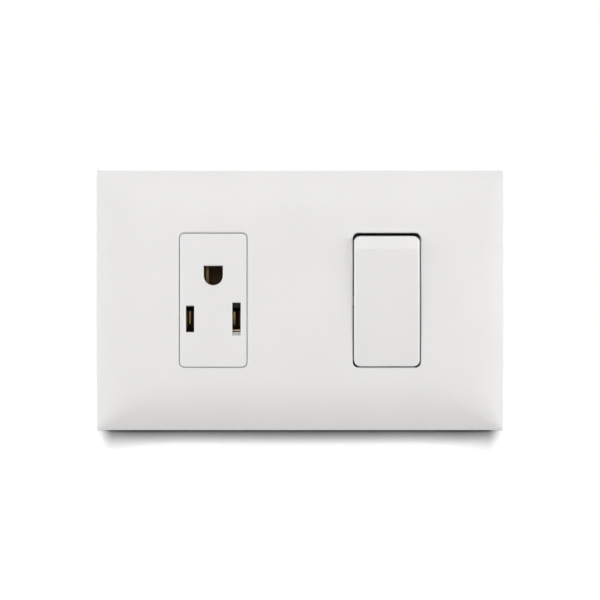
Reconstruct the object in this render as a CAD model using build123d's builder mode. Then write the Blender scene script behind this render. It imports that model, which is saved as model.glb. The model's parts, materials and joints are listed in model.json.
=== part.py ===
from build123d import *
from math import cos, radians, sin, sqrt
import os

# A switch and socket combination on a three-place wall plate, in millimetres.
# The wall is the plane Y = 0, the front looks along -Y and the mechanism goes to +Y, into the
# wall box. The origin is the middle of the two box screws on the wall. A height is a distance in
# front of the wall, so a negative height lies inside the wall box.

# Cover plate
plate_rise = 9.0
plate_wall = 2.0
edge_fall = 1.8
edge_run = 13.0
crown_steps = 6
plate_corner = 0.5
flat_corner = 9.0
front_edge_round = 0.2
opening_width = 18.65
opening_height = 36.85
opening_corner = 1.5
opening_bevel = 0.3
collar_wall = 1.0
collar_clearance = 0.2
rib_thickness = 1.0
rib_depth = 2.0
rib_inset = 6.35
clip_width = 7.0
clip_thickness = 1.4
clip_hook = 0.9
clip_spacing = 62.0
clip_foot = 0.5
hook_clearance = 0.1

# Places for modules, one beside the other
module_side_lip = 0.975
module_end_lip = 1.575
module_spacing = 0.55
module_depth = 21.0
module_corner = 0.8
flange_side_reach = 1.3
flange_end_reach = 2.2
flange_thickness = 1.6
cover_clearance = 0.2

# Support frame behind the plate
frame_screw_margin = 8.75
frame_end_margin = 4.3
frame_side_gap = 3.3
frame_end_gap = 7.15
frame_thickness = 3.0
frame_corner = 2.0
ledge_thickness = 1.5
ledge_reach = 1.0
frame_rim = 1.4
frame_rim_rise = 1.6
window_clearance = 0.2
clip_clearance = 0.3

# Box screws
box_screw_room = 6.4
box_screw_radius = 1.75
box_screw_neck_radius = 1.45
box_screw_length = 22.0
box_head_radius = 3.3
box_head_height = 2.1
box_head_round = 0.8
screw_slot_width = 4.0
screw_slot_length = 8.5
screw_seat_depth = 1.4
screw_seat_margin = 0.6

# Screwdriver recesses
cross_width = 0.9
cross_length = 3.6
cross_depth = 1.2
slot_width = 0.9
slot_depth = 0.9

# Snap arms that join a module's front to its housing
arm_thickness = 0.8
arm_width = 6.0
arm_length = 9.5
arm_hook = 0.6
arm_hook_length = 1.2
arm_inset = 8.0
arm_clearance = 0.1
tooth_width = 7.0
tooth_reach = 0.8
tooth_length = 2.4
tooth_clearance = 0.15
root_overlap = 0.2

# Terminals, the same in both modules
strip_thickness = 0.8
tab_width = 7.8
tab_length = 6.8
tab_end_clearance = 0.5
terminal_screw_inset = 0.6
terminal_divider = 1.7
well_size = 6.8
wire_space = 2.2
wire_gate_width = 4.6
clamp_size = 6.2
clamp_thickness = 1.0
clamp_hole_clearance = 0.25
terminal_screw_radius = 1.55
thread_clearance = 0.05
terminal_head_radius = 2.8
terminal_head_height = 2.0
terminal_screw_reach = 1.8
head_clearance = 0.2
back_wall = 1.6
driver_hole_radius = 3.1
chamber_end_wall = 1.3
chamber_corner = 0.6

# Socket
face_gap = 0.175
face_edge_round = 0.2
face_wall = 3.4
blade_spacing = 12.7
blade_drop = 5.15
line_slot_width = 2.3
line_slot_height = 7.15
neutral_slot_width = 2.32
neutral_slot_height = 8.9
sill_height = 0.9
sill_depth = 3.1
earth_hole_radius = 2.65
earth_rise = 6.75
slot_bevel = 0.25
mouth_pocket_width = 4.7
mouth_pocket_margin = 0.3
earth_pocket_width = 7.6
earth_pocket_height = 6.4
leaf_thickness = 0.6
blade_leaf_height = 4.2
earth_leaf_height = 5.0
leaf_recess = 0.7
leaf_root_spread = 3.8
blade_pinch = 1.2
blade_mouth = 2.0
earth_root_spread = 5.6
earth_pinch = 4.4
earth_mouth = 5.6
mouth_length = 1.9
pinch_length = 2.6
chamber_clearance = 0.15
blade_chamber_top = 2.0
earth_chamber_bottom = 3.6

# Switch front and rocker
rocker_plate_gap = 0.325
rocker_side_gap = 0.25
rocker_end_room = 0.35
rocker_bottom_gap = 0.6
rocker_top_gap = 0.645
rocker_pivot_height = 5.0
rocker_tilt = 4.0
rocker_rise = 5.23
rocker_facet = 3.35
rocker_facet_fall = 0.95
rocker_corner = 1.8
rocker_crest_round = 0.6
rocker_edge_round = 0.25
rocker_bevel_angle = 6.0
rocker_bevel_corner = 0.7
rocker_wall = 1.4
rocker_ceiling = 1.7
rocker_skirt = 1.6
pin_radius = 1.25
pin_length = 1.2
pin_clearance = 0.05
tube_wall = 0.9
tube_length = 6.0
web_thickness = 1.2

# Plunger and its spring
plunger_radius = 1.9
plunger_clearance = 0.08
plunger_reach = 11.0
plunger_tip_radius = 1.25
plunger_tip_flat = 0.05
plunger_nose_length = 3.5
plunger_body_length = 5.9
spring_wire = 0.35
spring_side_gap = 0.1
spring_turns = 4.5
spring_end_gap = 0.05

# Moving contact and its saddle
plunger_gap = 0.1
teeter_tilt = 8.0
teeter_width = 5.0
teeter_end_gap = 2.1
teeter_thickness = 0.8
waist_width = 3.6
waist_length = 1.7
saddle_width = 8.0
saddle_gap = 0.05
saddle_round = 0.3
saddle_side_gap = 0.1
ear_rise = 0.4
strip_width = 3.2
bend_radius = 0.8
stop_rib_length = 1.6
stop_rib_gap = 0.1

# Silver contact rivets
rivet_tip_margin = 1.8
rivet_riser_gap = 3.0
rivet_head_radius = 1.6
rivet_head_height = 0.7
rivet_shank_radius = 0.8
rivet_tail_radius = 1.2
rivet_tail_height = 0.4
rivet_dome_radius = 4.0
rivet_dome_base = 0.35
closed_gap = 0.12
foot_width = 5.0
foot_length = 4.4

# Sizes across the plate, worked out from one module's opening to the box screws and the rim
module_width = opening_width + 2 * module_side_lip
flange_width = module_width + 2 * flange_side_reach
module_pitch = flange_width + module_spacing
box_screw_spacing = 2 * module_pitch + flange_width + 2 * box_screw_room
frame_length = box_screw_spacing + 2 * frame_screw_margin
plate_length = frame_length + 2 * (frame_side_gap + plate_wall)

# Sizes up the plate, worked out from the opening to the rim
module_height = opening_height + 2 * module_end_lip
flange_height = module_height + 2 * flange_end_reach
frame_height = flange_height + 2 * frame_end_margin
plate_height = frame_height + 2 * (frame_end_gap + plate_wall)
rib_offset = opening_height / 2 - rib_inset
arm_offset = module_height / 2 - arm_inset

# Rocker, from the opening that it moves in
rocker_width = opening_width - 2 * rocker_plate_gap
rocker_bottom = opening_height / 2 - rocker_bottom_gap
rocker_top = opening_height / 2 - rocker_top_gap
rocker_crest = rocker_top - rocker_facet

# Places worked out from the sizes above
socket_x = -module_pitch
switch_x = module_pitch
module_places = [(socket_x, 0), (switch_x, 0)]
window_places = [(socket_x, 0), (0, 0), (switch_x, 0)]
base_rise = plate_rise - plate_wall - cover_clearance
crown_radius = (edge_run**2 + edge_fall**2) / (2 * edge_fall)
inner_crown_radius = crown_radius - plate_wall
inner_run = edge_run - plate_wall
inner_fall = inner_crown_radius - sqrt(inner_crown_radius**2 - inner_run**2)
frame_front = frame_thickness
ledge_half = frame_height / 2 + ledge_reach
seat_height = frame_front - screw_seat_depth
back_inside = back_wall - module_depth
head_back = back_inside + head_clearance
head_front = head_back + terminal_head_height
clamp_front = head_front + clamp_thickness
tab_back = clamp_front + wire_space
tab_front = tab_back + strip_thickness
chamber_half = module_height / 2 - chamber_end_wall
tab_centre = chamber_half - tab_end_clearance - tab_length / 2
tab_inside = tab_centre - tab_length / 2
terminal_offset = tab_centre - terminal_screw_inset
chamber_width = tab_width + 2 * chamber_clearance
terminal_spacing = chamber_width + terminal_divider
riser = tab_inside - strip_thickness / 2
rivet_offset = riser - rivet_riser_gap
teeter_lower = rivet_offset + rivet_tip_margin
teeter_upper = tab_inside - teeter_end_gap
socket_terminals = [(-terminal_spacing / 2, -1), (terminal_spacing / 2, -1), (0, 1)]
switch_terminals = [(0, 1), (0, -1)]


def front(height):
    """The plane parallel to the wall at a height in front of it, looking out into the room."""
    return Plane.XZ.offset(height)


def plan(z):
    """The level plane at z, drawn with X across and the height in front of the wall upwards."""
    return Plane(origin=(0, 0, z), x_dir=(1, 0, 0), z_dir=(0, 0, -1))


def side(x):
    """The upright plane at x, drawn with Z across and the height in front of the wall upwards."""
    return Plane(origin=(x, 0, 0), x_dir=(0, 0, 1), z_dir=(1, 0, 0))


def tilted_front(height, tilt):
    """The plane of a tilting piece of the switch, through its pivot, looking out of its face."""
    out = (0, -cos(radians(tilt)), -sin(radians(tilt)))
    return Plane(origin=(switch_x, -height, 0), x_dir=(1, 0, 0), z_dir=out)


def tilted_side(height, tilt):
    """The upright plane through a tilting piece's pivot, drawn along the piece and out of it."""
    along = (0, -sin(radians(tilt)), cos(radians(tilt)))
    return Plane(origin=(switch_x, -height, 0), x_dir=along, z_dir=(1, 0, 0))


def pads(plane, width, height, places, corner=0.0):
    """Equal rectangles on one plane, with rounded corners where a radius is given."""
    with BuildSketch(plane) as outline:
        with Locations(*places):
            if corner > 0:
                RectangleRounded(width, height, corner)
            else:
                Rectangle(width, height)
    return outline.sketch


def discs(plane, radius, places):
    """Equal circles on one plane."""
    with BuildSketch(plane) as outline:
        with Locations(*places):
            Circle(radius)
    return outline.sketch


def span(plane, low, high, corner=0.0):
    """One rectangle between two opposite corners."""
    middle = ((low[0] + high[0]) / 2, (low[1] + high[1]) / 2)
    return pads(plane, abs(high[0] - low[0]), abs(high[1] - low[1]), [middle], corner)


def crown_section(plane, half, rise, fall, run):
    """Section of a slab that is flat in the middle and falls in a tangent arc to both edges."""
    with BuildSketch(plane) as section:
        with BuildLine():
            Line((-half, 0), (-half, rise - fall))
            TangentArc((run - half, rise), (-half, rise - fall), tangent=(-1, 0))
            Line((run - half, rise), (half - run, rise))
            TangentArc((half - run, rise), (half, rise - fall), tangent=(1, 0))
            Line((half, rise - fall), (half, 0))
            Line((half, 0), (-half, 0))
        make_face()
    return section.sketch


def bent_strip(plane, points, radius):
    """Edge view of a sheet-metal strip that follows the points with one bend radius."""
    with BuildSketch(plane) as section:
        with BuildLine():
            FilletPolyline(*points, radius=radius)
        trace(line_width=strip_thickness)
    return section.sketch


def terminal_places(module_x, terminals):
    """Screw centres, for a module at module_x: each terminal is a sideways place and an end."""
    return [(module_x + x, end * terminal_offset) for x, end in terminals]


def tab_places(module_x, terminals):
    """Centres of the tabs that the terminal screws thread into."""
    return [(module_x + x, end * tab_centre) for x, end in terminals]


def arm_places(module_x, inset):
    """Centres of the four snap arms at a distance in from the module's two sides."""
    reach = module_width / 2 - inset
    return [(module_x + sx * reach, sz * arm_offset) for sx in (-1, 1) for sz in (-1, 1)]


# Cover plate: a thin shell with a crowned front and two openings
with BuildPart() as cover_hollow:
    half_length = plate_length / 2 - plate_wall
    half_height = plate_height / 2 - plate_wall
    inner_rise = plate_rise - plate_wall
    length_section = crown_section(plan(0), half_length, inner_rise, inner_fall, inner_run)
    height_section = crown_section(side(0), half_height, inner_rise, inner_fall, inner_run)
    extrude(length_section, amount=half_height, both=True)
    extrude(height_section, amount=half_length, both=True, mode=Mode.INTERSECT)

# Crown: the outline draws in and its corners grow rounder as the arc rises to the flat
with BuildPart() as crown_cap:
    for step in range(crown_steps + 1):
        inset = edge_run * step / crown_steps
        drop = crown_radius - sqrt(crown_radius**2 - (edge_run - inset) ** 2)
        section_corner = plate_corner + (flat_corner - plate_corner) * step / crown_steps
        with BuildSketch(front(plate_rise - drop)):
            RectangleRounded(
                plate_length - 2 * inset, plate_height - 2 * inset, section_corner
            )
    loft()

with BuildPart() as cover_plate:
    outline = pads(front(0), plate_length, plate_height, [(0, 0)], plate_corner)
    extrude(outline, amount=plate_rise - edge_fall)
    add(crown_cap.part)
    rim = cover_plate.edges().filter_by_position(
        Axis.Y, edge_fall - plate_rise - plate_corner, edge_fall - plate_rise + plate_corner
    )
    fillet(rim, front_edge_round)
    add(cover_hollow.part, mode=Mode.SUBTRACT)

    # Collars that sit round the modules, ribs between them and the hooks that grip the frame
    collar_width = module_width + 2 * collar_clearance
    collar_height = module_height + 2 * collar_clearance
    collar_foot = frame_front + flange_thickness + cover_clearance
    under_front = plate_rise - plate_wall / 2
    collar_rise = under_front - collar_foot
    collar_ring = pads(
        front(collar_foot), collar_width + 2 * collar_wall, collar_height + 2 * collar_wall,
        module_places, module_corner + collar_wall,
    )
    extrude(collar_ring, amount=collar_rise)
    rib_length = 2 * module_pitch - collar_width - collar_wall
    rib_foot = plate_rise - plate_wall - rib_depth
    ribs = pads(front(rib_foot), rib_length, rib_thickness, [(0, rib_offset), (0, -rib_offset)])
    extrude(ribs, amount=under_front - rib_foot)
    collar_hole = pads(
        front(collar_foot), collar_width, collar_height, module_places, module_corner
    )
    extrude(collar_hole, amount=plate_rise - plate_wall - collar_foot, mode=Mode.SUBTRACT)
    hook_top = frame_front - ledge_thickness - hook_clearance
    clip_inside = ledge_half + clip_clearance
    for end in (-1, 1):
        clip_z = end * (clip_inside + clip_thickness / 2)
        clip_rows = [(-clip_spacing / 2, clip_z), (clip_spacing / 2, clip_z)]
        arms = pads(front(clip_foot), clip_width, clip_thickness, clip_rows)
        extrude(arms, amount=under_front - edge_fall / 2 - clip_foot)
        for clip_x in (-clip_spacing / 2, clip_spacing / 2):
            with BuildSketch(side(clip_x)):
                with BuildLine():
                    Polyline(
                        (end * clip_inside, clip_foot),
                        (end * (clip_inside - clip_hook), hook_top),
                        (end * clip_inside, hook_top),
                        close=True,
                    )
                make_face()
            extrude(amount=clip_width / 2, both=True)

    # The two openings, with a small bevel round their front edge
    openings = pads(
        front(plate_rise), opening_width, opening_height, module_places, opening_corner
    )
    extrude(openings, amount=-plate_wall, mode=Mode.SUBTRACT)
    bevels = pads(
        front(plate_rise), opening_width + 2 * opening_bevel,
        opening_height + 2 * opening_bevel, module_places, opening_corner + opening_bevel,
    )
    extrude(bevels, amount=-opening_bevel, taper=45, mode=Mode.SUBTRACT)
cover_plate.part.label = "cover_plate"

# Support frame: a flat frame with three windows, screw slots and the ledge for the hooks
with BuildPart() as support_frame:
    frame_outline = pads(front(0), frame_length, frame_height, [(0, 0)], frame_corner)
    extrude(frame_outline, amount=frame_front)
    ledge = pads(
        front(frame_front - ledge_thickness), frame_length, 2 * ledge_half, [(0, 0)],
        frame_corner,
    )
    extrude(ledge, amount=ledge_thickness)
    rim_outer = pads(front(frame_front), frame_length, frame_height, [(0, 0)], frame_corner)
    extrude(rim_outer, amount=frame_rim_rise)
    rim_inner = pads(
        front(frame_front), frame_length - 2 * frame_rim, frame_height - 2 * frame_rim,
        [(0, 0)], frame_corner - frame_rim,
    )
    extrude(rim_inner, amount=frame_rim_rise, mode=Mode.SUBTRACT)
    windows = pads(
        front(0), module_width + 2 * window_clearance, module_height + 2 * window_clearance,
        window_places, module_corner,
    )
    extrude(windows, amount=frame_front, mode=Mode.SUBTRACT)
    screw_places = [(-box_screw_spacing / 2, 0), (box_screw_spacing / 2, 0)]
    seat_width = 2 * (box_head_radius + screw_seat_margin)
    seat_length = screw_slot_length - screw_slot_width + seat_width
    with BuildSketch(front(frame_front)):
        with Locations(*screw_places):
            SlotOverall(seat_length, seat_width, rotation=90)
    extrude(amount=-screw_seat_depth, mode=Mode.SUBTRACT)
    with BuildSketch(front(0)):
        with Locations(*screw_places):
            SlotOverall(screw_slot_length, screw_slot_width, rotation=90)
    extrude(amount=frame_front, mode=Mode.SUBTRACT)
support_frame.part.label = "support_frame"

# Box screws: pan head, waisted neck that stays captive in the frame, and a threaded length
with BuildPart() as mounting_screws:
    extrude(discs(front(seat_height), box_head_radius, screw_places), amount=box_head_height)
    head_rims = mounting_screws.edges().filter_by(GeomType.CIRCLE).group_by(Axis.Y)[0]
    fillet(head_rims, box_head_round)
    extrude(discs(front(0), box_screw_neck_radius, screw_places), amount=seat_height)
    extrude(discs(front(0), box_screw_radius, screw_places), amount=-box_screw_length)
    head_top = seat_height + box_head_height
    with BuildSketch(front(head_top)):
        with Locations(*screw_places):
            Rectangle(cross_length, cross_width)
            Rectangle(cross_width, cross_length)
    extrude(amount=-cross_depth, mode=Mode.SUBTRACT)
mounting_screws.part.label = "mounting_screws"


def module_front(module_x, boss_rise):
    """The block that both module fronts start from: base, flange and four snap arms."""
    with BuildPart() as block:
        extrude(
            pads(front(frame_front), module_width, module_height, [(module_x, 0)], module_corner),
            amount=boss_rise - frame_front,
        )
        extrude(
            pads(front(frame_front), flange_width, flange_height, [(module_x, 0)], module_corner),
            amount=flange_thickness,
        )
        arms = pads(
            front(frame_front), arm_thickness, arm_width, arm_places(module_x, arm_thickness / 2)
        )
        extrude(arms, amount=-arm_length)
        hooks = pads(
            front(frame_front - arm_length), arm_hook + arm_thickness, arm_width,
            arm_places(module_x, (arm_hook + arm_thickness) / 2),
        )
        extrude(hooks, amount=arm_hook_length)
    return block.part


def module_housing(module_x, terminals):
    """The block that both housings start from: recesses for the arms, teeth and terminal wells."""
    with BuildPart() as block:
        outline = pads(
            front(frame_front), module_width, module_height, [(module_x, 0)], module_corner
        )
        extrude(outline, amount=-module_depth - frame_front)

        # Teeth that hold the module behind the frame's window
        for end in (-1, 1):
            with BuildSketch(side(module_x)):
                with BuildLine():
                    Polyline(
                        (end * (module_height / 2 - root_overlap), -tooth_clearance),
                        (end * (module_height / 2 + tooth_reach), -tooth_clearance),
                        (end * (module_height / 2 - root_overlap), -tooth_clearance - tooth_length),
                        close=True,
                    )
                make_face()
            extrude(amount=tooth_width / 2, both=True)

        # Recesses for the snap arms, and windows for their hooks
        recess_depth = arm_thickness + arm_clearance
        recesses = pads(
            front(frame_front), recess_depth, arm_width + 2 * arm_clearance,
            arm_places(module_x, recess_depth / 2),
        )
        extrude(recesses, amount=-arm_length - arm_clearance, mode=Mode.SUBTRACT)
        window_depth = recess_depth + arm_hook + arm_clearance
        hook_windows = pads(
            front(frame_front - arm_length - arm_clearance), window_depth,
            arm_width + 2 * arm_clearance, arm_places(module_x, window_depth / 2),
        )
        extrude(hook_windows, amount=arm_hook_length + 2 * arm_clearance, mode=Mode.SUBTRACT)

        # Terminal wells behind the tabs, driver holes and wire gates
        places = terminal_places(module_x, terminals)
        wells = pads(front(tab_back), well_size, well_size, places, chamber_corner)
        extrude(wells, amount=back_inside - tab_back, mode=Mode.SUBTRACT)
        driver_holes = discs(front(back_inside), driver_hole_radius, places)
        extrude(driver_holes, amount=-back_wall, mode=Mode.SUBTRACT)
        gate_reach = module_height / 2 - terminal_offset
        gates = [(x, z + (1 if z > 0 else -1) * gate_reach / 2) for x, z in places]
        gate_outline = pads(front(tab_back), wire_gate_width, gate_reach, gates)
        extrude(gate_outline, amount=-wire_space, mode=Mode.SUBTRACT)
    return block.part


def clamp_plates(places):
    """Square clamp plates, one under each terminal screw's head."""
    with BuildPart() as plates:
        outline = pads(front(head_front), clamp_size, clamp_size, places, chamber_corner)
        extrude(outline, amount=clamp_thickness)
        hole_radius = terminal_screw_radius + clamp_hole_clearance
        extrude(
            discs(front(head_front), hole_radius, places), amount=clamp_thickness,
            mode=Mode.SUBTRACT,
        )
    return plates.part


def terminal_screws(places):
    """Slotted terminal screws, driven from the back of the module."""
    with BuildPart() as screws:
        extrude(discs(front(head_back), terminal_head_radius, places), amount=terminal_head_height)
        slots = pads(front(head_back), 2 * terminal_head_radius, slot_width, places)
        extrude(slots, amount=slot_depth, mode=Mode.SUBTRACT)
        shank_end = tab_front + terminal_screw_reach
        extrude(
            discs(front(head_front), terminal_screw_radius, places),
            amount=shank_end - head_front,
        )
    return screws.part


# Socket face: the insulated front with its blade slots and earth hole
face_back = plate_rise - face_wall
line_x = socket_x - blade_spacing / 2
neutral_x = socket_x + blade_spacing / 2
with BuildPart() as socket_face:
    add(module_front(socket_x, base_rise))
    boss = pads(
        front(base_rise), opening_width - 2 * face_gap, opening_height - 2 * face_gap,
        [(socket_x, 0)], opening_corner - face_gap,
    )
    extrude(boss, amount=plate_rise - base_rise)
    fillet(socket_face.faces().sort_by(Axis.Y)[0].edges(), face_edge_round)
    deep_height = neutral_slot_height - sill_height
    deep_z = sill_height / 2 - blade_drop
    line_mouth = pads(
        front(frame_front), mouth_pocket_width, line_slot_height + 2 * mouth_pocket_margin,
        [(line_x, -blade_drop)], chamber_corner,
    )
    extrude(line_mouth, amount=face_back - frame_front, mode=Mode.SUBTRACT)
    neutral_mouth = pads(
        front(frame_front), mouth_pocket_width, deep_height + 2 * mouth_pocket_margin,
        [(neutral_x, deep_z)], chamber_corner,
    )
    extrude(neutral_mouth, amount=face_back - frame_front, mode=Mode.SUBTRACT)
    earth_mouth_pocket = pads(
        front(frame_front), earth_pocket_width, earth_pocket_height,
        [(socket_x, earth_rise)], chamber_corner,
    )
    extrude(earth_mouth_pocket, amount=face_back - frame_front, mode=Mode.SUBTRACT)

    # Blade slots: the wide one has a sill across its lower end
    line_slot = pads(
        front(plate_rise), line_slot_width, line_slot_height, [(line_x, -blade_drop)]
    )
    extrude(line_slot, amount=-face_wall, mode=Mode.SUBTRACT)
    neutral_slot = pads(
        front(plate_rise), neutral_slot_width, neutral_slot_height, [(neutral_x, -blade_drop)]
    )
    extrude(neutral_slot, amount=-sill_depth, mode=Mode.SUBTRACT)
    deep_slot = pads(
        front(plate_rise), neutral_slot_width, deep_height, [(neutral_x, deep_z)]
    )
    extrude(deep_slot, amount=-face_wall, mode=Mode.SUBTRACT)

    # Earth hole: flat at the top, round at the bottom
    with BuildSketch(front(plate_rise)):
        with Locations((socket_x, earth_rise)):
            Circle(earth_hole_radius)
        with Locations((socket_x, earth_rise + earth_hole_radius / 2)):
            Rectangle(2 * earth_hole_radius, earth_hole_radius)
    extrude(amount=-face_wall, mode=Mode.SUBTRACT)
    mouth_edges = socket_face.faces().sort_by(Axis.Y)[0].inner_wires().edges()
    chamfer(mouth_edges, slot_bevel)
socket_face.part.label = "socket_face"

# Socket housing: three chambers, each with a step that its contact rests on
with BuildPart() as socket_housing:
    add(module_housing(socket_x, socket_terminals))
    blade_chambers = pads(
        front(frame_front), chamber_width, chamber_half - blade_chamber_top,
        [
            (socket_x + sx * terminal_spacing / 2, -(chamber_half + blade_chamber_top) / 2)
            for sx in (-1, 1)
        ],
        chamber_corner,
    )
    extrude(blade_chambers, amount=tab_back - frame_front, mode=Mode.SUBTRACT)
    earth_chamber = pads(
        front(frame_front), chamber_width, chamber_half - earth_chamber_bottom,
        [(socket_x, (chamber_half + earth_chamber_bottom) / 2)], chamber_corner,
    )
    extrude(earth_chamber, amount=tab_back - frame_front, mode=Mode.SUBTRACT)
socket_housing.part.label = "socket_housing"


def spring_contact(fork_x, fork_z, terminal_x, end, leaf_height, spread, pinch, mouth):
    """A female contact: a base strip with the terminal tab, and two leaves that grip the pin."""
    leaf_tip = face_back - leaf_recess
    pinch_front = leaf_tip - mouth_length
    pinch_back = pinch_front - pinch_length
    half_leaf = leaf_thickness / 2
    with BuildPart() as contact:
        tab = pads(front(tab_back), tab_width, tab_length, [(terminal_x, end * tab_centre)])
        extrude(tab, amount=strip_thickness)
        fork_width = spread + leaf_thickness
        fork_edge = fork_z - end * leaf_height / 2
        strip_low = min(fork_edge, end * tab_centre)
        strip_high = max(fork_edge, end * tab_centre)
        strip = span(
            front(tab_back), (fork_x - fork_width / 2, strip_low),
            (fork_x + fork_width / 2, strip_high),
        )
        extrude(strip, amount=strip_thickness)
        for sx in (-1, 1):
            with BuildSketch(plan(fork_z)):
                with BuildLine():
                    Polyline(
                        (fork_x + sx * spread / 2, tab_back + half_leaf),
                        (fork_x + sx * spread / 2, tab_front + 2 * leaf_thickness),
                        (fork_x + sx * (pinch / 2 + half_leaf), pinch_back),
                        (fork_x + sx * (pinch / 2 + half_leaf), pinch_front),
                        (fork_x + sx * mouth / 2, leaf_tip),
                    )
                trace(line_width=leaf_thickness)
            extrude(amount=leaf_height / 2, both=True)
        thread_radius = terminal_screw_radius + thread_clearance
        extrude(
            discs(front(tab_back), thread_radius, [(terminal_x, end * terminal_offset)]),
            amount=strip_thickness, mode=Mode.SUBTRACT,
        )
    return contact.part


with BuildPart() as line_contact:
    add(
        spring_contact(
            line_x, -blade_drop, socket_x - terminal_spacing / 2, -1,
            blade_leaf_height, leaf_root_spread, blade_pinch, blade_mouth,
        )
    )
line_contact.part.label = "line_contact"

with BuildPart() as neutral_contact:
    add(
        spring_contact(
            neutral_x, -blade_drop, socket_x + terminal_spacing / 2, -1,
            blade_leaf_height, leaf_root_spread, blade_pinch, blade_mouth,
        )
    )
neutral_contact.part.label = "neutral_contact"

with BuildPart() as earth_contact:
    add(
        spring_contact(
            socket_x, earth_rise, socket_x, 1,
            earth_leaf_height, earth_root_spread, earth_pinch, earth_mouth,
        )
    )
earth_contact.part.label = "earth_contact"

with BuildPart() as socket_clamp_plates:
    add(clamp_plates(terminal_places(socket_x, socket_terminals)))
socket_clamp_plates.part.label = "socket_clamp_plates"

with BuildPart() as socket_terminal_screws:
    add(terminal_screws(terminal_places(socket_x, socket_terminals)))
socket_terminal_screws.part.label = "socket_terminal_screws"

# Switch bezel: a ring with bearings for the rocker's pins in its side walls
with BuildPart() as switch_bezel:
    add(module_front(switch_x, base_rise))
    bezel_hole = pads(
        front(frame_front), rocker_width + 2 * rocker_side_gap,
        2 * (opening_height / 2 + rocker_end_room), [(switch_x, 0)], opening_corner,
    )
    extrude(bezel_hole, amount=base_rise - frame_front, mode=Mode.SUBTRACT)
    with BuildSketch(Plane(origin=(switch_x, -rocker_pivot_height, 0), z_dir=(1, 0, 0))):
        Circle(pin_radius + pin_clearance)
    extrude(amount=module_width / 2, both=True, mode=Mode.SUBTRACT)
switch_bezel.part.label = "switch_bezel"

# Rocker: drawn about its pivot, level with its own face, and tilted as it rests
rocker_front = tilted_front(rocker_pivot_height, rocker_tilt)
rocker_side = tilted_side(rocker_pivot_height, rocker_tilt)
skirt_slope = sin(radians(rocker_tilt)) / cos(radians(rocker_tilt))
bore_radius = plunger_radius + plunger_clearance
ceiling = rocker_rise - rocker_ceiling
with BuildPart() as rocker:
    outline = span(
        rocker_front.offset(-rocker_skirt), (-rocker_width / 2, -rocker_bottom),
        (rocker_width / 2, rocker_top), rocker_corner,
    )
    extrude(outline, amount=rocker_skirt + rocker_rise)

    # Flat face, top facet, and a skirt that slopes up from the pivot to both ends
    with BuildSketch(rocker_side):
        with BuildLine():
            Polyline(
                (0, -rocker_skirt),
                (rocker_top, rocker_top * skirt_slope - rocker_skirt),
                (rocker_top, rocker_rise - rocker_facet_fall),
                (rocker_crest, rocker_rise),
                (-rocker_bottom, rocker_rise),
                (-rocker_bottom, rocker_bottom * skirt_slope - rocker_skirt),
                close=True,
            )
        make_face()
    extrude(amount=rocker_width / 2, both=True, mode=Mode.INTERSECT)

    # Side bevels start where the rocker meets the plate, so they widen as it stands proud
    for sx in (-1, 1):
        bevel_lean = radians(rocker_bevel_angle)
        bevel_plane = Plane(
            origin=(switch_x + sx * rocker_width / 2, -plate_rise, 0),
            z_dir=(sx * cos(bevel_lean), -sin(bevel_lean), 0),
        )
        split(bisect_by=bevel_plane, keep=Keep.BOTTOM)
    facet = rocker.faces().filter_by(GeomType.PLANE).sort_by(Axis.Z)[-2]
    facet_sides = facet.edges().filter_by(GeomType.LINE).filter_by(Axis.X, reverse=True)
    fillet(facet_sides, rocker_bevel_corner)
    crest = rocker.edges().filter_by(Axis.X).sort_by(Axis.Y)[0]
    fillet(crest, rocker_crest_round)
    facet_top = rocker.edges().filter_by(Axis.X).sort_by(Axis.Y)[2]
    fillet(facet_top, rocker_edge_round)

    # Hinge pins, then the hollow back with the plunger's tube on a web between the pins
    with BuildSketch(Plane(origin=(switch_x, -rocker_pivot_height, 0), z_dir=(1, 0, 0))):
        Circle(pin_radius)
    extrude(amount=rocker_width / 2 + pin_length, both=True)
    hollow = span(
        rocker_front.offset(-rocker_skirt),
        (rocker_wall - rocker_width / 2, rocker_wall - rocker_bottom),
        (rocker_width / 2 - rocker_wall, rocker_crest),
        rocker_corner - rocker_wall,
    )
    extrude(hollow, amount=rocker_skirt + ceiling, mode=Mode.SUBTRACT)
    tube = discs(rocker_front.offset(-tube_length), bore_radius + tube_wall, [(0, 0)])
    extrude(tube, amount=tube_length + ceiling)
    web = pads(
        rocker_front.offset(-rocker_skirt), rocker_width - rocker_wall, web_thickness, [(0, 0)]
    )
    extrude(web, amount=rocker_skirt + ceiling)
    bore = discs(rocker_front.offset(-tube_length), bore_radius, [(0, 0)])
    extrude(bore, amount=tube_length + ceiling, mode=Mode.SUBTRACT)
rocker.part.label = "rocker"

# Plunger: a round body that slides in the rocker's tube, and a nose with a round tip
plunger_back = plunger_reach - plunger_nose_length - plunger_body_length
with BuildPart() as plunger:
    tip = rocker_front.offset(-plunger_reach)
    extrude(discs(tip, plunger_tip_radius, [(0, 0)]), amount=plunger_nose_length)
    tip_edge = plunger.edges().filter_by(GeomType.CIRCLE).sort_by(Axis.Y)[-1]
    fillet(tip_edge, plunger_tip_radius - plunger_tip_flat)
    body = discs(tip.offset(plunger_nose_length), plunger_radius, [(0, 0)])
    extrude(body, amount=plunger_body_length)
plunger.part.label = "plunger"

# Rocker spring: a wire helix between the plunger's back and the blind end of the tube
spring_radius = bore_radius - spring_side_gap - spring_wire / 2
spring_foot = -plunger_back + spring_end_gap + spring_wire / 2
spring_height = ceiling - spring_end_gap - spring_wire / 2 - spring_foot
with BuildPart() as rocker_spring:
    with BuildLine(rocker_front.offset(spring_foot)) as coil:
        Helix(
            pitch=spring_height / spring_turns, height=spring_height, radius=spring_radius,
            direction=rocker_front.z_dir,
        )
    with BuildSketch(Plane(origin=coil.line @ 0, z_dir=coil.line % 0)):
        Circle(spring_wire / 2)
    sweep(path=coil.line, is_frenet=True)
rocker_spring.part.label = "rocker_spring"

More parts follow.
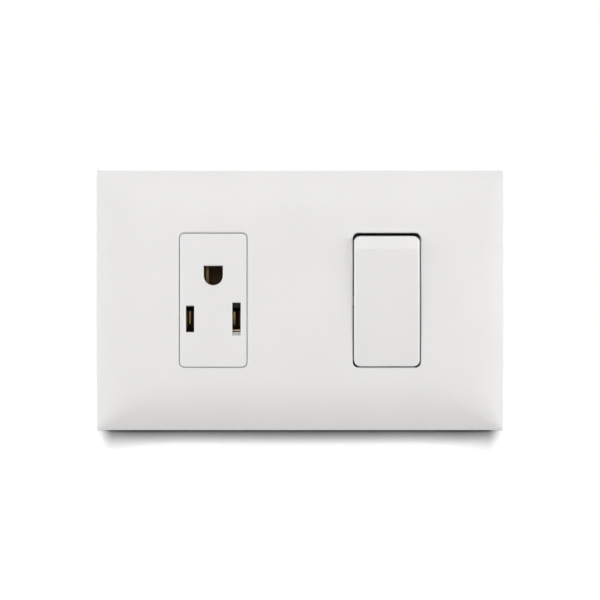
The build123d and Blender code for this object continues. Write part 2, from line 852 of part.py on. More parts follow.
# Moving contact: a strip that tips on the saddle, waisted where the saddle's ears hold it
saddle_height = rocker_pivot_height - plunger_reach - plunger_gap - teeter_thickness
teeter_front = tilted_front(saddle_height, -teeter_tilt)
with BuildPart() as moving_contact:
    strip = span(
        teeter_front, (-teeter_width / 2, -teeter_lower), (teeter_width / 2, teeter_upper),
        chamber_corner,
    )
    extrude(strip, amount=teeter_thickness)
    notch_depth = (teeter_width - waist_width) / 2
    notch_places = [(sx * (teeter_width - notch_depth) / 2, 0) for sx in (-1, 1)]
    notches = pads(teeter_front, notch_depth, waist_length, notch_places)
    extrude(notches, amount=teeter_thickness, mode=Mode.SUBTRACT)
    rivet_hole = discs(teeter_front, rivet_shank_radius, [(0, -rivet_offset)])
    extrude(rivet_hole, amount=teeter_thickness, mode=Mode.SUBTRACT)
moving_contact.part.label = "moving_contact"

with BuildPart() as moving_rivet:
    extrude(
        discs(teeter_front, rivet_head_radius, [(0, -rivet_offset)]), amount=-rivet_head_height
    )
    extrude(
        discs(teeter_front, rivet_shank_radius, [(0, -rivet_offset)]), amount=teeter_thickness
    )
    extrude(
        discs(teeter_front.offset(teeter_thickness), rivet_tail_radius, [(0, -rivet_offset)]),
        amount=rivet_tail_height,
    )
moving_rivet.part.label = "moving_rivet"

# Common terminal: tab, strip along the housing's step, and the notched saddle wall
strip_middle = tab_back + strip_thickness / 2
saddle_top = saddle_height - saddle_gap
with BuildPart() as common_terminal:
    tab = pads(front(tab_back), tab_width, tab_length, tab_places(switch_x, [(0, 1)]))
    extrude(tab, amount=strip_thickness)
    strip_path = [(tab_centre, strip_middle), (0, strip_middle), (0, saddle_top)]
    extrude(bent_strip(side(switch_x), strip_path, bend_radius), amount=strip_width / 2, both=True)
    saddle_foot = strip_middle + bend_radius + strip_thickness
    saddle = pads(front(saddle_foot), saddle_width, strip_thickness, [(switch_x, 0)])
    ear_top = saddle_height + teeter_thickness + ear_rise
    extrude(saddle, amount=ear_top - saddle_foot)
    saddle_notch = pads(
        front(saddle_top), waist_width + 2 * saddle_side_gap, 2 * strip_thickness, [(switch_x, 0)]
    )
    extrude(saddle_notch, amount=ear_top - saddle_top, mode=Mode.SUBTRACT)
    knife = common_terminal.faces().filter_by(Axis.Y).filter_by_position(
        Axis.Y, -saddle_height, 2 * saddle_gap - saddle_height
    )
    fillet(knife.edges().filter_by(Axis.X), saddle_round)
    extrude(
        discs(
            front(tab_back), terminal_screw_radius + thread_clearance,
            terminal_places(switch_x, [(0, 1)]),
        ),
        amount=strip_thickness, mode=Mode.SUBTRACT,
    )
common_terminal.part.label = "common_terminal"

# Fixed contact: the moving rivet's face, tipped the other way, meets the fixed rivet's dome
lean = radians(teeter_tilt)
closed_depth = rivet_offset * sin(lean) + rivet_head_height * cos(lean)
closed_offset = rivet_offset * cos(lean) - rivet_head_height * sin(lean)
sideways = (closed_offset - rivet_offset) * sin(lean)
dome_depth = closed_depth + (rivet_dome_radius + closed_gap - sideways) / cos(lean)
dome_top = saddle_height - dome_depth + rivet_dome_radius
dome_height = rivet_dome_radius - sqrt(rivet_dome_radius**2 - rivet_head_radius**2)
foot_top = dome_top - dome_height - rivet_dome_base
foot_middle = foot_top - strip_thickness / 2
with BuildPart() as fixed_contact:
    tab = pads(front(tab_back), tab_width, tab_length, tab_places(switch_x, [(0, -1)]))
    extrude(tab, amount=strip_thickness)
    strip_path = [
        (-tab_centre, strip_middle),
        (-riser, strip_middle),
        (-riser, foot_middle),
        (foot_length - riser, foot_middle),
    ]
    extrude(bent_strip(side(switch_x), strip_path, bend_radius), amount=foot_width / 2, both=True)
    extrude(
        discs(
            front(tab_back), terminal_screw_radius + thread_clearance,
            terminal_places(switch_x, [(0, -1)]),
        ),
        amount=strip_thickness, mode=Mode.SUBTRACT,
    )
    rivet_place = [(switch_x, -rivet_offset)]
    extrude(
        discs(front(foot_top), rivet_shank_radius, rivet_place), amount=-strip_thickness,
        mode=Mode.SUBTRACT,
    )
fixed_contact.part.label = "fixed_contact"

with BuildPart() as fixed_rivet:
    with BuildSketch(side(switch_x)):
        with BuildLine():
            axis = -rivet_offset
            Polyline(
                (axis, dome_top),
                (axis, foot_top - strip_thickness - rivet_tail_height),
                (axis + rivet_tail_radius, foot_top - strip_thickness - rivet_tail_height),
                (axis + rivet_tail_radius, foot_top - strip_thickness),
                (axis + rivet_shank_radius, foot_top - strip_thickness),
                (axis + rivet_shank_radius, foot_top),
                (axis + rivet_head_radius, foot_top),
                (axis + rivet_head_radius, foot_top + rivet_dome_base),
            )
            RadiusArc(
                (axis + rivet_head_radius, foot_top + rivet_dome_base), (axis, dome_top),
                -rivet_dome_radius,
            )
        make_face()
    revolve(axis=Axis((switch_x, 0, -rivet_offset), (0, 1, 0)))
fixed_rivet.part.label = "fixed_rivet"

# Switch housing: one chamber for the mechanism, guides beside the tabs and stops for the strip
chamber_side = rocker_width / 2 - web_thickness
stop_centre = teeter_upper - stop_rib_length / 2
stop_top = saddle_height - (teeter_upper + stop_rib_gap) * sin(lean) / cos(lean) - stop_rib_gap
with BuildPart() as switch_housing:
    add(module_housing(switch_x, switch_terminals))
    chamber = pads(
        front(frame_front), 2 * chamber_side, 2 * chamber_half, [(switch_x, 0)], chamber_corner
    )
    extrude(chamber, amount=tab_back - frame_front, mode=Mode.SUBTRACT)
    guide_x = tab_width / 2 + arm_clearance + rib_thickness / 2
    guide_places = [
        (switch_x + sx * guide_x, sz * (chamber_half - tab_length / 2))
        for sx in (-1, 1) for sz in (-1, 1)
    ]
    guides = pads(front(tab_back), rib_thickness, tab_length, guide_places)
    extrude(guides, amount=2 * strip_thickness)
    stop_inside = strip_width / 2 + 2 * stop_rib_gap
    for sx in (-1, 1):
        stop = span(
            front(tab_back),
            (switch_x + sx * stop_inside, stop_centre - stop_rib_length / 2),
            (switch_x + sx * (chamber_side + root_overlap), stop_centre + stop_rib_length / 2),
        )
        extrude(stop, amount=stop_top - tab_back)
switch_housing.part.label = "switch_housing"

with BuildPart() as switch_clamp_plates:
    add(clamp_plates(terminal_places(switch_x, switch_terminals)))
switch_clamp_plates.part.label = "switch_clamp_plates"

with BuildPart() as switch_terminal_screws:
    add(terminal_screws(terminal_places(switch_x, switch_terminals)))
switch_terminal_screws.part.label = "switch_terminal_screws"

os.makedirs("parts", exist_ok=True)
pieces = [
    cover_plate, support_frame, mounting_screws, socket_face, socket_housing, line_contact,
    neutral_contact, earth_contact, socket_clamp_plates, socket_terminal_screws, switch_bezel,
    rocker, plunger, rocker_spring, moving_contact, moving_rivet, common_terminal,
    fixed_contact, fixed_rivet, switch_housing, switch_clamp_plates, switch_terminal_screws,
]
for piece in pieces:
    export_step(piece.part, f"parts/{piece.part.label}.step")
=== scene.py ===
"""Looks of a switch and socket combination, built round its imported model.

Everything is in metres in the frame of the model: the wall is the plane y = 0, the room lies at
-y, the wall box at +y, and z is up.
"""

import json
import math

import bpy
import numpy as np
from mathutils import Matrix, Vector


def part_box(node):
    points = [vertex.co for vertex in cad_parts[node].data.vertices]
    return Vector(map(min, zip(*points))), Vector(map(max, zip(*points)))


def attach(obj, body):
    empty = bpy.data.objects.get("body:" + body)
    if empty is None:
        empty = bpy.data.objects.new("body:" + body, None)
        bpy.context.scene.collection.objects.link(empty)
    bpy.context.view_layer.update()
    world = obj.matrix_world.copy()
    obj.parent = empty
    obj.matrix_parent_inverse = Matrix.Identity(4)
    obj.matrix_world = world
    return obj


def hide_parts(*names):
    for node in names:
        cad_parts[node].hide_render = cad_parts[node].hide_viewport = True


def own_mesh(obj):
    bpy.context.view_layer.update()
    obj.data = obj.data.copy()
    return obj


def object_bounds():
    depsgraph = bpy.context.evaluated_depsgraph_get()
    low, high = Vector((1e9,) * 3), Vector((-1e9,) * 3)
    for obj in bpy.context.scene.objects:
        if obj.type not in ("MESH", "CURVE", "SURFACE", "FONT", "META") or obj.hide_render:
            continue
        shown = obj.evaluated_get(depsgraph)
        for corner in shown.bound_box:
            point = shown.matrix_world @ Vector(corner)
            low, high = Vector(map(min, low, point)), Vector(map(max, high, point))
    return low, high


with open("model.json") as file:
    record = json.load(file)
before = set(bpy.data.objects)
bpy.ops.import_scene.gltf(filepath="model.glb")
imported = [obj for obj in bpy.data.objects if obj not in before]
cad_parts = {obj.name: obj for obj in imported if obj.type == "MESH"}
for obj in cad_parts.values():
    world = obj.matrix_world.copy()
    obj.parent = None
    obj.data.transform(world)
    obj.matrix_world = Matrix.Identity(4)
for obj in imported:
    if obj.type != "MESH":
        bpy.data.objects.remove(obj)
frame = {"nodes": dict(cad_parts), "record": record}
cad_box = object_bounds()
nodes = frame["nodes"]
mm = 0.001
white = "#FFFFFF"


# Nodes and colours

def linear(hex_colour):
    """An sRGB hex colour as the linear red, green, blue and alpha that sockets take."""
    channels = [int(hex_colour[i:i + 2], 16) / 255 for i in (1, 3, 5)]
    return tuple(
        c / 12.92 if c <= 0.04045 else ((c + 0.055) / 1.055) ** 2.4 for c in channels
    ) + (1.0,)


def add_node(tree, kind, inputs=None, **settings):
    """Adds one node with its settings. Each input takes a value or the output that feeds it."""
    made = tree.nodes.new(kind)
    for key, value in settings.items():
        setattr(made, key, value)
    for key, value in (inputs or {}).items():
        if isinstance(value, bpy.types.NodeSocket):
            tree.links.new(value, made.inputs[key])
        else:
            made.inputs[key].default_value = value
    return made


def maths(tree, operation, *terms):
    """The result of one operation on numbers or outputs."""
    return add_node(tree, "ShaderNodeMath", dict(enumerate(terms)), operation=operation).outputs[0]


def ranged(tree, value, low, high, to=(0.0, 1.0), smooth=False):
    """Takes the value from the span low to high over to another span, and holds it at the ends."""
    spans = {"From Min": low, "From Max": high, "To Min": to[0], "To Max": to[1]}
    step = "SMOOTHSTEP" if smooth else "LINEAR"
    made = add_node(
        tree, "ShaderNodeMapRange", {"Value": value, **spans}, interpolation_type=step
    )
    return made.outputs["Result"]


def mixed(tree, share, first, second):
    """The first colour where the share is 0, and the second where it is 1."""
    sockets = {0: share, 6: first, 7: second}
    return add_node(tree, "ShaderNodeMix", sockets, data_type="RGBA").outputs[2]


def ramp(tree, value, stops):
    """The colour at a value, from stops given as pairs of place and hex colour."""
    made = add_node(tree, "ShaderNodeValToRGB", {"Fac": value})
    elements = made.color_ramp.elements
    while len(elements) < len(stops):
        elements.new(0.5)
    for element, (place, colour) in zip(elements, stops):
        element.position = place
        element.color = linear(colour)
    return made.outputs["Color"]


def noise(tree, place, size, detail, roughness=0.5):
    """Even noise with grains of about the given size, in the unit of the place."""
    sockets = {"Vector": place, "Scale": 1 / size, "Detail": detail, "Roughness": roughness}
    return add_node(tree, "ShaderNodeTexNoise", sockets).outputs["Fac"]


def bumped(tree, height, strength, depth):
    """The normal that a height of the given depth in metres makes."""
    sockets = {"Height": height, "Strength": strength, "Distance": depth}
    return add_node(tree, "ShaderNodeBump", sockets).outputs["Normal"]


def part_of(tree, vector, axis):
    """One axis of a vector."""
    return add_node(tree, "ShaderNodeSeparateXYZ", {0: vector}).outputs[axis]


def new_material(name):
    """An empty node material, its tree, and the object coordinates in metres."""
    material = bpy.data.materials.new(name)
    material.use_nodes = True
    tree = material.node_tree
    tree.nodes.clear()
    return material, tree, tree.nodes.new("ShaderNodeTexCoord").outputs["Object"]


def finish_tree(tree, kind, shader):
    """Links the finished shader to a new output of the given kind."""
    add_node(tree, kind, {"Surface": shader.outputs[0]})


# Materials

tone_drift = 18 * mm
spot_size = 3 * mm
# The terminals start between these depths, and in front of them the springs get painted shade
terminal_depths = (8 * mm, 11 * mm)
leaf_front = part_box("neutral_contact")[0][1]
behind_lips = (leaf_front - 0.1 * mm, leaf_front - 0.02 * mm)


def moulded_plastic(name, colours, roughness, texture_mm, texture_depth_mm, ior):
    """A moulded plastic: a slow drift of tone, and the fine texture that the mould leaves."""
    material, tree, place = new_material(name)
    drift = noise(tree, place, tone_drift, 2.0)
    grain = noise(tree, place, texture_mm * mm, 3.0, 0.55)
    finish_tree(tree, "ShaderNodeOutputMaterial", add_node(
        tree, "ShaderNodeBsdfPrincipled", {
            "Base Color": ramp(tree, drift, [(0.3, colours[0]), (0.7, colours[1])]),
            "Roughness": ranged(tree, grain, 0.3, 0.7, roughness),
            "Normal": bumped(tree, grain, 0.5, texture_depth_mm * mm),
            "IOR": ior,
        },
    ))
    return material


def toward_room(tree, place):
    """1 in front of the terminals or on a face that looks to the room, and 0 behind: where the
    painted shade of the springs goes.
    """
    facing = tree.nodes.new("ShaderNodeTexCoord").outputs["Normal"]
    front_face = ranged(tree, part_of(tree, facing, "Y"), 0.1, -0.4)
    front_part = ranged(tree, part_of(tree, place, "Y"), *reversed(terminal_depths))
    return maths(tree, "MAXIMUM", front_face, front_part)


def worked_metal(name, colours, roughness, streak_mm, stretch, bump_mm, painted_shade=None):
    """A bare metal: streaks of the rolling or drawing, drawn out along one axis, and dull spots.

    Painted shade gives two darker colours for what faces the room or lies in front of the
    terminals, where the slots keep it in the dark, and a third for what lies behind the lips of the
    springs. The edges and backs stay bright.
    """
    material, tree, place = new_material(name)
    scale = tuple(1 / (streak_mm * s * mm) for s in stretch)
    drawn_out = add_node(tree, "ShaderNodeMapping", {"Vector": place, "Scale": scale})
    streaks = noise(tree, drawn_out.outputs["Vector"], 1.0, 4.0, 0.6)
    spots = noise(tree, place, spot_size, 3.0)
    colour = ramp(tree, spots, [(0.35, colours[0]), (0.65, colours[1])])
    # Painted shade: faces seen through the slots are darkened, most of all behind the lips
    if painted_shade:
        front_shade = ramp(tree, spots, [(0.35, painted_shade[0]), (0.65, painted_shade[1])])
        inward = ranged(tree, part_of(tree, place, "Y"), *behind_lips)
        darkened = mixed(tree, inward, front_shade, linear(painted_shade[2]))
        colour = mixed(tree, toward_room(tree, place), colour, darkened)
    finish_tree(tree, "ShaderNodeOutputMaterial", add_node(
        tree, "ShaderNodeBsdfPrincipled", {
            "Base Color": colour,
            "Metallic": 1.0,
            "Roughness": ranged(tree, streaks, 0.3, 0.7, roughness),
            "Normal": bumped(tree, streaks, 0.4, bump_mm * mm),
        },
    ))
    return material


# White polycarbonate, injection moulded in a polished mould: clean, bright, with a soft gloss
white_polycarbonate = moulded_plastic(
    "white_polycarbonate", ("#E6E5E4", "#E9E8E7"), (0.34, 0.42), 1.6, 0.004, 1.58
)
# Grey polycarbonate frame from an eroded mould: even, matt and slightly sandy
grey_polycarbonate = moulded_plastic(
    "grey_polycarbonate", ("#8E9092", "#979A9B"), (0.5, 0.62), 0.35, 0.02, 1.58
)
# Black polyamide housing with glass fibre: dark, with a faint cloudy sheen
black_polyamide = moulded_plastic(
    "black_polyamide", ("#1E1E20", "#29292B"), (0.42, 0.58), 0.5, 0.02, 1.53
)
# Natural acetal plunger: slippery and waxy, a warm grey-white
natural_acetal = moulded_plastic(
    "natural_acetal", ("#D8D7D0", "#E0DFD9"), (0.28, 0.36), 0.8, 0.005, 1.48
)
# Zinc-plated steel: bluish bright metal with cloudy patches of passivation
zinc_plated_steel = worked_metal(
    "zinc_plated_steel", ("#A9ADB0", "#C6C8C6"), (0.26, 0.42), 0.4, (1, 1, 1), 0.003
)
# Drawn spring steel: darker, with fine draw marks
drawn_spring_steel = worked_metal(
    "drawn_spring_steel", ("#8A8C8E", "#A3A4A5"), (0.25, 0.38), 0.15, (1, 1, 6), 0.002
)
# Rolled brass sheet: warm yellow metal with rolling streaks, and painted shade in brown where the
# springs face the room
rolled_brass = worked_metal(
    "rolled_brass", ("#B58B45", "#D1AC63"), (0.3, 0.46), 0.12, (1, 8, 1), 0.002,
    painted_shade=("#5F4E38", "#705B3F", "#382B1B"),
)
# Brass of the earth contact: painted shade in a browner, more even tone where it faces the room
earth_brass_painted_shade = worked_metal(
    "earth_brass_painted_shade", ("#B58B45", "#D1AC63"), (0.34, 0.5), 0.12, (1, 8, 1), 0.002,
    painted_shade=("#4F3F2A", "#5A4730", "#4C3D2B"),
)
# Brass edge made pale, smooth and yellowish: the paleness is a painted reflection, so that the edge
# reads bright
pale_reflection_brass = worked_metal(
    "pale_reflection_brass", ("#BCA988", "#CDBA98"), (0.3, 0.4), 0.12, (1, 8, 1), 0.002
)
# Silver contact rivets: pale, soft metal with a slightly dull face
fine_silver = worked_metal(
    "fine_silver", ("#CFCDC8", "#E3E2DE"), (0.22, 0.36), 0.3, (1, 1, 1), 0.003
)

finishes = {
    "plate_plastic": white_polycarbonate,
    "frame_plastic": grey_polycarbonate,
    "housing_plastic": black_polyamide,
    "plunger_plastic": natural_acetal,
    "zinc_steel": zinc_plated_steel,
    "spring_steel": drawn_spring_steel,
    "contact_brass": rolled_brass,
    "contact_silver": fine_silver,
}
for part in frame["record"]["subparts"]:
    for mesh_slot in nodes[part["node"]].material_slots:
        mesh_slot.material = finishes[part["material_slot"]]
# The earth contact gets its own painted shade
for mesh_slot in nodes["earth_contact"].material_slots:
    mesh_slot.material = earth_brass_painted_shade


# Meshes

smooth_angle = math.radians(38)


def stacked(x, y, z):
    """Points from the grids of their x, y and z, which may be single numbers or rows."""
    return np.stack(np.broadcast_arrays(x, y, z), axis=-1)


def circle(columns):
    """Even angles once round, without the last one that closes on the first."""
    return np.linspace(0, 2 * np.pi, columns, endpoint=False)


def power_of(values, power):
    """The values raised to a power with their signs kept."""
    return np.sign(values) * np.abs(values) ** power


def new_object(name, points, faces):
    """A mesh object in the scene, at the origin."""
    mesh = bpy.data.meshes.new(name)
    mesh.from_pydata(points, [], faces)
    made = bpy.data.objects.new(name, mesh)
    bpy.context.scene.collection.objects.link(made)
    return made


def closed_shells(name, shells):
    """One mesh of closed shells: each is a stack of rings whose first and last close on a point."""
    points, quads, fans = [], [], []
    start = 0
    for rings in shells:
        rows, columns = rings.shape[:2]
        index = start + np.arange(rows * columns).reshape(rows, columns)
        beside = np.roll(index, -1, axis=1)
        quads.append(
            np.stack([index[:-1], index[1:], beside[1:], beside[:-1]], axis=-1).reshape(-1, 4)
        )
        first = start + rows * columns
        fans.append(np.stack([np.full(columns, first), index[0], beside[0]], axis=-1))
        fans.append(np.stack([np.full(columns, first + 1), beside[-1], index[-1]], axis=-1))
        points += [rings.reshape(-1, 3), rings[:1].mean(axis=1), rings[-1:].mean(axis=1)]
        start = first + 2
    shell = new_object(
        name, np.concatenate(points).tolist(),
        np.concatenate(quads).tolist() + np.concatenate(fans).tolist(),
    )
    mesh = shell.data
    mesh.polygons.foreach_set("use_smooth", np.ones(len(mesh.polygons), dtype=bool))
    mesh.set_sharp_from_angle(angle=smooth_angle)
    return shell


# Box screws: pan heads with a cross recess, a captive neck and a rolled thread

screw_spacing = 83.5 * mm
head_radius = 3.3 * mm
head_height = 2.1 * mm
head_round = 0.8 * mm
head_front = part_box("mounting_screws")[0][1]
neck_radius = 1.45 * mm
recess_width = 0.9 * mm
recess_length = 3.6 * mm
recess_depth = 1.2 * mm
recess_wall = 0.14 * mm
thread_crest = 1.75 * mm
thread_root = 1.38 * mm
thread_pitch = 0.6 * mm
thread_length = 22.0 * mm
thread_runout = 1.0 * mm
# Of half a turn, the share that lies flat at the root and the share that climbs to the crest
root_share = 0.22
flank_share = 0.66
tip_radius = 1.155 * mm
tip_slope = 0.7
screw_angles = circle(72)
centre_radius = 0.05 * mm
flat_rows = 44
round_rows = 8
rows_per_pitch = 8


def recess_fall(x, z):
    """Depth of the cross recess: full inside either arm, rising along a short slope to its edge."""
    wide = np.minimum(recess_length / 2 - np.abs(x), recess_width / 2 - np.abs(z))
    tall = np.minimum(recess_width / 2 - np.abs(x), recess_length / 2 - np.abs(z))
    return recess_depth * np.clip(np.maximum(wide, tall) / recess_wall, 0, 1)


def head_rings(centre_x):
    """Rings of the head: radius and depth run along its profile, the recess sunk in the top.

    The profile is a flat top, a quarter round to the rim, the rim, the seat and the neck.
    """
    flat = np.linspace(centre_radius, head_radius - head_round, flat_rows)
    turn = np.linspace(0, np.pi / 2, round_rows + 1)[1:]
    radius = np.concatenate([
        flat, head_radius - head_round * (1 - np.sin(turn)),
        [head_radius, neck_radius, neck_radius],
    ])
    depth = np.concatenate([
        np.zeros_like(flat), head_round * (1 - np.cos(turn)),
        [head_height, head_height, -head_front],
    ])
    x = radius[:, None] * np.cos(screw_angles)
    z = radius[:, None] * np.sin(screw_angles)
    return stacked(centre_x + x, head_front + depth[:, None] + recess_fall(x, z), z)


def thread_rings(centre_x):
    """Rings of the thread: the radius at a length s and angle a follows the helix s / pitch - a.

    Between root and crest it is a triangle wave with both ends cut flat. The wave grows from the
    neck over the runout, and a cone holds the radius in at the tip.
    """
    rows = int(thread_length / thread_pitch * rows_per_pitch)
    length = np.linspace(0, thread_length, rows)[:, None]
    turn = np.mod(length / thread_pitch - screw_angles / (2 * np.pi), 1.0)
    wave = np.clip((np.abs(2 * turn - 1) - root_share) / flank_share, 0, 1)
    grown = np.clip(length / thread_runout, 0, 1)
    radius = thread_root + (thread_crest - thread_root) * wave * grown
    radius = np.minimum(radius, tip_radius + tip_slope * (thread_length - length))
    return stacked(
        centre_x + radius * np.cos(screw_angles), length, radius * np.sin(screw_angles)
    )


box_screws = closed_shells("box_screws", [
    np.concatenate([head_rings(side * screw_spacing / 2), thread_rings(side * screw_spacing / 2)])
    for side in (-1, 1)
])
box_screws.data.materials.append(zinc_plated_steel)
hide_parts("mounting_screws")
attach(box_screws, "wall_unit")


# Rocker's spring: a wire helix from the plunger to the blind end of the rocker's tube

slide_lean = math.radians(4)
slide_axis = np.array([0.0, -math.cos(slide_lean), -math.sin(slide_lean)])
slide_across = np.array([1.0, 0.0, 0.0])
slide_up = np.array([0.0, -math.sin(slide_lean), math.cos(slide_lean)])
slide_origin = np.array([23.75 * mm, -5.0 * mm, 0.0])
# Places along the axis of the wire's middle at the plunger and at the blind end of the tube
spring_foot = -1.375 * mm
spring_head = 3.305 * mm
spring_turns = 4.5
spring_radius = 1.705 * mm
wire_radius = 0.175 * mm
spring_rows = 145
wire_angles = circle(12)[None, :, None]


def spring_rings():
    """Rings of the wire, square to a helix: its height grows evenly with the angle."""
    turn = np.linspace(0, 2 * np.pi * spring_turns, spring_rows)[:, None]
    height = spring_foot + (spring_head - spring_foot) * turn / turn[-1]
    out = np.cos(turn) * slide_across + np.sin(turn) * slide_up
    middle = slide_origin + spring_radius * out + height * slide_axis
    tangent = np.gradient(middle, axis=0)
    tangent /= np.linalg.norm(tangent, axis=1, keepdims=True)
    beside = np.cross(out, tangent)
    return middle[:, None] + wire_radius * (
        np.cos(wire_angles) * out[:, None] + np.sin(wire_angles) * beside[:, None]
    )


spring = closed_shells("coil_spring", [spring_rings()])
spring.data.materials.append(drawn_spring_steel)
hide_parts("rocker_spring")
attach(spring, "rocker")
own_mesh(spring)


# Lips of the springs, which curl in over the leaves' ends and give way to the pins, and the bridge
# of the neutral spring: the strip's bend between its two leaves, seen over the sill

# Each lip: middle x and z, width and height
blade_lips = [
    (-30.27 * mm, -4.77 * mm, 0.55 * mm, 3.7 * mm),
    (-18.1 * mm, -4.95 * mm, 0.72 * mm, 3.6 * mm),
]
earth_lips = [(-25.5 * mm, 6.9 * mm, 0.95 * mm, 5.2 * mm)]
lip_depth = 0.35 * mm
lip_gap = 0.05 * mm
lip_curl = 0.12 * mm
lip_rows = 33
# Angle from the lip's pole at which its first ring stands
lip_pole = 0.06

bridge_middle = (-17.38 * mm, -7.27 * mm)
bridge_half_width = 1.6 * mm
bridge_drop = 1.0 * mm
bridge_thickness = 0.34 * mm
bridge_front = -4.95 * mm
bridge_depth = 1.6 * mm
bridge_rows = 61
strip_angles = circle(24)

# Powers of the squared circles: 1 is round, and 0 is square
lip_height_power = 0.6
lip_end_power = 0.25
lip_plan_power = 0.4
bridge_path_power = 0.25
bridge_section_power = 0.35


def lip_rings(middle_x, middle_z, width, height):
    """Rings of a lip, from its top down: a squared circle in plan, bowed forward along the height.

    The bow is the curl times one less the square of the height, and the ends draw in by a squared
    circle too.
    """
    turn = np.linspace(lip_pole, np.pi - lip_pole, lip_rows)[:, None]
    up = power_of(np.cos(turn), lip_height_power)
    drawn_in = power_of(np.sin(turn), lip_end_power)
    x = middle_x + width / 2 * drawn_in * power_of(np.cos(strip_angles), lip_plan_power)
    front = leaf_front - lip_gap - lip_depth - lip_curl * (1 - up ** 2)
    y = front + lip_depth / 2 * (1 + power_of(np.sin(strip_angles), lip_plan_power))
    return stacked(x, y, middle_z + height / 2 * up)


def bridge_rings():
    """Rings of a flat strip bent to a U: half of a squared circle gives the path.

    Across is half width times cos a to the path's power, and down is the drop times sin a to the
    same power. The section is a squared circle too, thin along the path's normal and deep along y.
    """
    turn = np.linspace(np.pi, 2 * np.pi, bridge_rows)
    across = bridge_middle[0] + bridge_half_width * power_of(np.cos(turn), bridge_path_power)
    down = bridge_middle[1] + bridge_drop * power_of(np.sin(turn), bridge_path_power)
    tangent = np.stack([np.gradient(across), np.gradient(down)], axis=-1)
    tangent /= np.linalg.norm(tangent, axis=1, keepdims=True)
    out = bridge_thickness / 2 * power_of(np.cos(strip_angles), bridge_section_power)
    back = bridge_depth / 2 * (1 + power_of(np.sin(strip_angles), bridge_section_power))
    x = across[:, None] - tangent[:, 1:] * out
    z = down[:, None] + tangent[:, :1] * out
    return stacked(x, bridge_front + back, z)


for name, lips, brass in (
    ("blade_lips", blade_lips, rolled_brass), ("earth_lip", earth_lips, earth_brass_painted_shade),
):
    spring_lips = closed_shells(name, [lip_rings(*lip) for lip in lips])
    spring_lips.data.materials.append(brass)
    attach(spring_lips, "wall_unit")
neutral_bridge = closed_shells("neutral_bridge", [bridge_rings()])
# Pale brass: a painted reflection along the bridge
neutral_bridge.data.materials.append(pale_reflection_brass)
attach(neutral_bridge, "wall_unit")


# Floor: a white card under the object

floor_reach = 3.0
floor_rows = 3
# The card's colour from its shade: the open share of the sky above, out to the shade's reach
shade_reach = 0.3
shade_samples = 16
shade_colours = [
    (0.5, "#2C2C2C"), (0.6, "#737373"), (0.68, "#959595"), (0.76, "#ABABAB"), (0.86, "#D8D8D8"),
    (0.93, "#FFFFFF"),
]
# Toward its ends the sky opens, and the shade is deepened by this much to stay even
even_span = (25 * mm, 55 * mm)
even_depth = 0.09
# It ends where the side less this taper times y is constant, so that it draws in toward the room
end_taper = 0.083
end_span = (51.8 * mm, 57.0 * mm)
# Behind the plate the card is bare
back_span = (-6 * mm, 20 * mm)
# Far away the card is as bright as the backdrop
far_span = (0.28, 0.5)
# Painted light: near the object the card glows this much for seen rays, in the colour of its shade
painted_card_glow = 0.3
# What the card throws back is darker than what it shows, so the front isn't lit from below
thrown_back = "#9C9C9C"


def floor_surface(reach, count):
    """A level square sheet: x and y run evenly from -reach to reach at the floor's height."""
    steps = np.linspace(-reach, reach, count)
    x, y = np.meshgrid(steps, steps, indexing="ij")
    points = stacked(x, y, cad_box[0][2]).reshape(-1, 3)
    index = np.arange(count * count).reshape(count, count)
    faces = np.stack(
        [index[:-1, :-1], index[1:, :-1], index[1:, 1:], index[:-1, 1:]], axis=-1
    ).reshape(-1, 4)
    return new_object("floor", points.tolist(), faces.tolist())


def ray_kinds(tree):
    """1 for the rays of the camera, of reflections and of glass, and 0 for the light's own."""
    rays = tree.nodes.new("ShaderNodeLightPath").outputs
    seen = maths(tree, "MAXIMUM", rays["Is Camera Ray"], rays["Is Glossy Ray"])
    return maths(tree, "MAXIMUM", seen, rays["Is Transmission Ray"])


def card_material():
    """White card: pure white where it is lit, with painted shade close to what stands on it.

    It also glows a little for seen rays: painted light that lifts it to white, in the colour of its
    painted shade.
    """
    material, tree, place = new_material("white_card")
    seen = ray_kinds(tree)
    side = maths(tree, "ABSOLUTE", part_of(tree, place, "X"))
    depth = part_of(tree, place, "Y")
    distance = add_node(tree, "ShaderNodeVectorMath", {0: place}, operation="LENGTH")
    opened = add_node(
        tree, "ShaderNodeAmbientOcclusion", {"Distance": shade_reach}, samples=shade_samples
    )
    deepened = ranged(tree, side, *even_span, (0.0, even_depth), smooth=True)
    shade = ramp(tree, maths(tree, "SUBTRACT", opened.outputs["AO"], deepened), shade_colours)
    tapered = maths(tree, "MULTIPLY_ADD", depth, -end_taper, side)
    bare = maths(
        tree, "MAXIMUM", ranged(tree, tapered, *end_span, smooth=True),
        ranged(tree, depth, *back_span, smooth=True),
    )
    shown = mixed(tree, bare, shade, linear(white))
    colour = mixed(tree, seen, linear(thrown_back), shown)
    lit = add_node(tree, "ShaderNodeBsdfDiffuse", {"Color": colour})
    strength = maths(tree, "MULTIPLY", seen, painted_card_glow)
    painted_glow = add_node(tree, "ShaderNodeEmission", {"Color": colour, "Strength": strength})
    near = add_node(tree, "ShaderNodeAddShader", {0: lit.outputs[0], 1: painted_glow.outputs[0]})
    far = add_node(tree, "ShaderNodeEmission", {"Color": linear(white), "Strength": seen})
    share = ranged(tree, distance.outputs["Value"], *far_span, smooth=True)
    finish_tree(tree, "ShaderNodeOutputMaterial", add_node(
        tree, "ShaderNodeMixShader", {0: share, 1: near.outputs[0], 2: far.outputs[0]}
    ))
    return material


floor = floor_surface(floor_reach, floor_rows)
floor.data.materials.append(card_material())


# Room, lamps and camera

room_strength = 0.29
backdrop_strength = 1.0

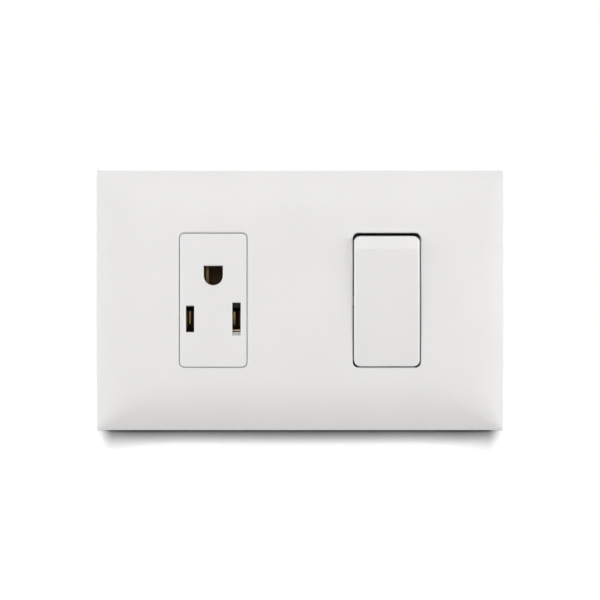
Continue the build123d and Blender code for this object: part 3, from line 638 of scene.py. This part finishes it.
world = bpy.data.worlds.new("white_room")
bpy.context.scene.world = world
world.use_nodes = True
room = world.node_tree
room.nodes.clear()
room_light, backdrop = (
    add_node(room, "ShaderNodeBackground", {"Color": linear(white), "Strength": strength})
    for strength in (room_strength, backdrop_strength)
)
finish_tree(room, "ShaderNodeOutputWorld", add_node(
    room, "ShaderNodeMixShader",
    {0: ray_kinds(room), 1: room_light.outputs[0], 2: backdrop.outputs[0]},
))


def soft_box(name, place, target, size, power):
    """A rectangular soft box at a place, turned to its target."""
    lamp = bpy.data.lights.new(name, "AREA")
    lamp.shape = "RECTANGLE"
    lamp.size, lamp.size_y = size
    lamp.energy = power
    holder = bpy.data.objects.new(name, lamp)
    holder.location = place
    aim = Vector(target) - Vector(place)
    holder.rotation_euler = aim.to_track_quat("-Z", "Y").to_euler()
    bpy.context.scene.collection.objects.link(holder)


# Each lamp: name, place, target, width and height, and power in watts
for lamp_row in (
    ("overhead", (0.0, 0.35, 0.65), (0.0, 0.0, -0.03), (0.4, 0.3), 2.5),
    ("top_front", (0.0, -0.9, 0.6), (0.0, 0.0, 0.0), (0.9, 0.4), 0.95),
    ("front", (0.0, -1.3, 0.3), (0.0, 0.0, 0.0), (0.8, 0.5), 2.7),
    ("left", (-1.1, -0.5, 0.14), (0.0, 0.0, 0.0), (1.1, 0.36), 8.8),
    ("right", (1.1, -0.5, 0.14), (0.0, 0.0, 0.0), (1.1, 0.36), 10.0),
    ("back", (0.0, 1.0, 0.7), (0.0, 0.0, 0.0), (0.9, 0.5), 9.5),
):
    soft_box(*lamp_row)

camera_distance = 0.62
camera_height = 0.07 * mm
plate_front = -8.5 * mm
# Width that the picture takes in at the plate's front, and the sensor's in millimetres
view_width = 0.16424
sensor_width = 36.0

camera_data = bpy.data.cameras.new("camera")
camera_data.sensor_width = sensor_width
camera_data.lens = sensor_width * camera_distance / view_width
camera_data.clip_start = 0.01
camera_data.clip_end = 20.0
camera = bpy.data.objects.new("camera", camera_data)
camera.location = (0.0, plate_front - camera_distance, camera_height)
camera.rotation_euler = (math.radians(90), 0.0, 0.0)
bpy.context.scene.collection.objects.link(camera)
bpy.context.scene.camera = camera
bpy.context.scene.view_settings.view_transform = "Standard"
